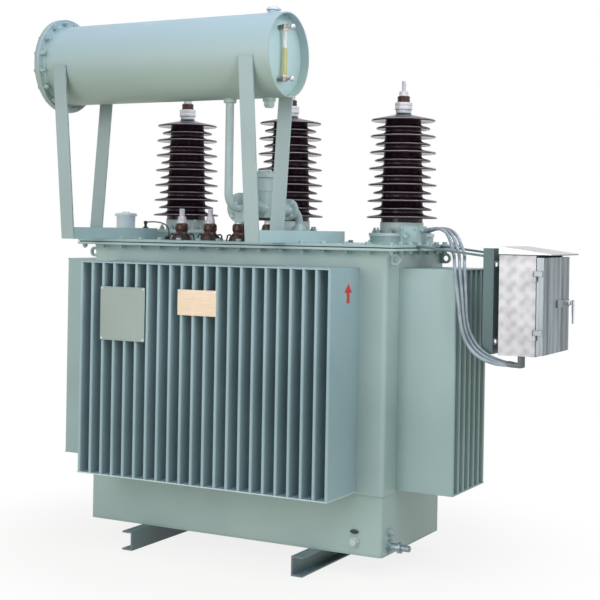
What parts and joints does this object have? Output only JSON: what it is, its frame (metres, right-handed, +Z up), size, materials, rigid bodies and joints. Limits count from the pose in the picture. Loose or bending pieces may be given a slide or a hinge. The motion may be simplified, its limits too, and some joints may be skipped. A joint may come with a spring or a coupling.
{
  "type": "oil-immersed distribution transformer",
  "caption": "Oil-immersed three-phase transformer with a corrugated tank on base channels, a conservator on a cradle, porcelain bushings and a terminal box with a hinged door.",
  "frame": {"origin": "on the ground at the middle of the four fixing holes of the base channels", "axes": "+X to the right along the long side, towards the terminal box; -Y to the front with the plates; +Z up"},
  "size_m": [2.303, 1.232, 2.267],
  "materials": {
    "paint": "grey-green semi-gloss enamel",
    "gasket": "oil-proof sheet rubber",
    "hv_glaze": "dark brown glaze, glossy",
    "lv_glaze": "brown glaze",
    "bright_steel": "plated steel",
    "dark_metal": "dark cast metal",
    "grey_cap": "light grey paint",
    "gauge_glass": "clear tube with yellow oil in the lower part",
    "brass_plate": "etched plate, left blank",
    "stainless": "stainless sheet with a swirl-ground side",
    "chrome": "polished",
    "dark_plastic": "moulded",
    "lead_jacket": "pale grey jacket"
  },
  "bodies": {
    "main": {"base_rails": "paint", "tank_floor": "paint", "tank_walls": "paint", "cover_gasket": "gasket", "tank_cover": "paint", "fins_front": "paint", "fins_back": "paint", "fins_left": "paint", "fins_right": "paint", "lifting_lugs": "paint", "hv_turrets": "paint", "hv_flanges": "paint", "hv_porcelain": "hv_glaze", "hv_terminals": "bright_steel", "lv_rings": "dark_metal", "lv_porcelain": "lv_glaze", "lv_terminals": "bright_steel", "conservator_shell": "paint", "conservator_flange": "paint", "conservator_end": "paint", "cradle_rails": "paint", "cradle_front_legs": "paint", "cradle_back_legs": "paint", "breather_cap": "grey_cap", "sediment_plug": "paint", "gauge_fittings": "dark_metal", "gauge_glass": "gauge_glass", "oil_pipe": "paint", "gas_relay": "paint", "relay_elbow": "paint", "relief_can": "grey_cap", "drain_valve": "bright_steel", "earth_stud": "bright_steel", "badge_plate": "paint", "nameplate": "brass_plate", "ct_box": "paint", "box_arms": "paint", "box_bracket": "paint", "terminal_box": "stainless", "box_hood": "stainless", "cable_glands": "dark_plastic", "lead_a": "lead_jacket", "lead_b": "lead_jacket", "lead_c": "lead_jacket"},
    "door": {"box_door": "stainless"},
    "handle": {"door_handle": "chrome"}
  },
  "joints": [
    {"name": "door_hinge", "type": "hinge", "parent": "main", "child": "door", "pos_m": [1.279, -0.178, 1.096], "axis": [0, 0, -1], "range_deg": [0, 110]},
    {"name": "handle_turn", "type": "hinge", "parent": "door", "child": "handle", "pos_m": [1.33, 0.138, 1.098], "axis": [-1, 0, 0], "range_deg": [0, 90]}
  ]
}
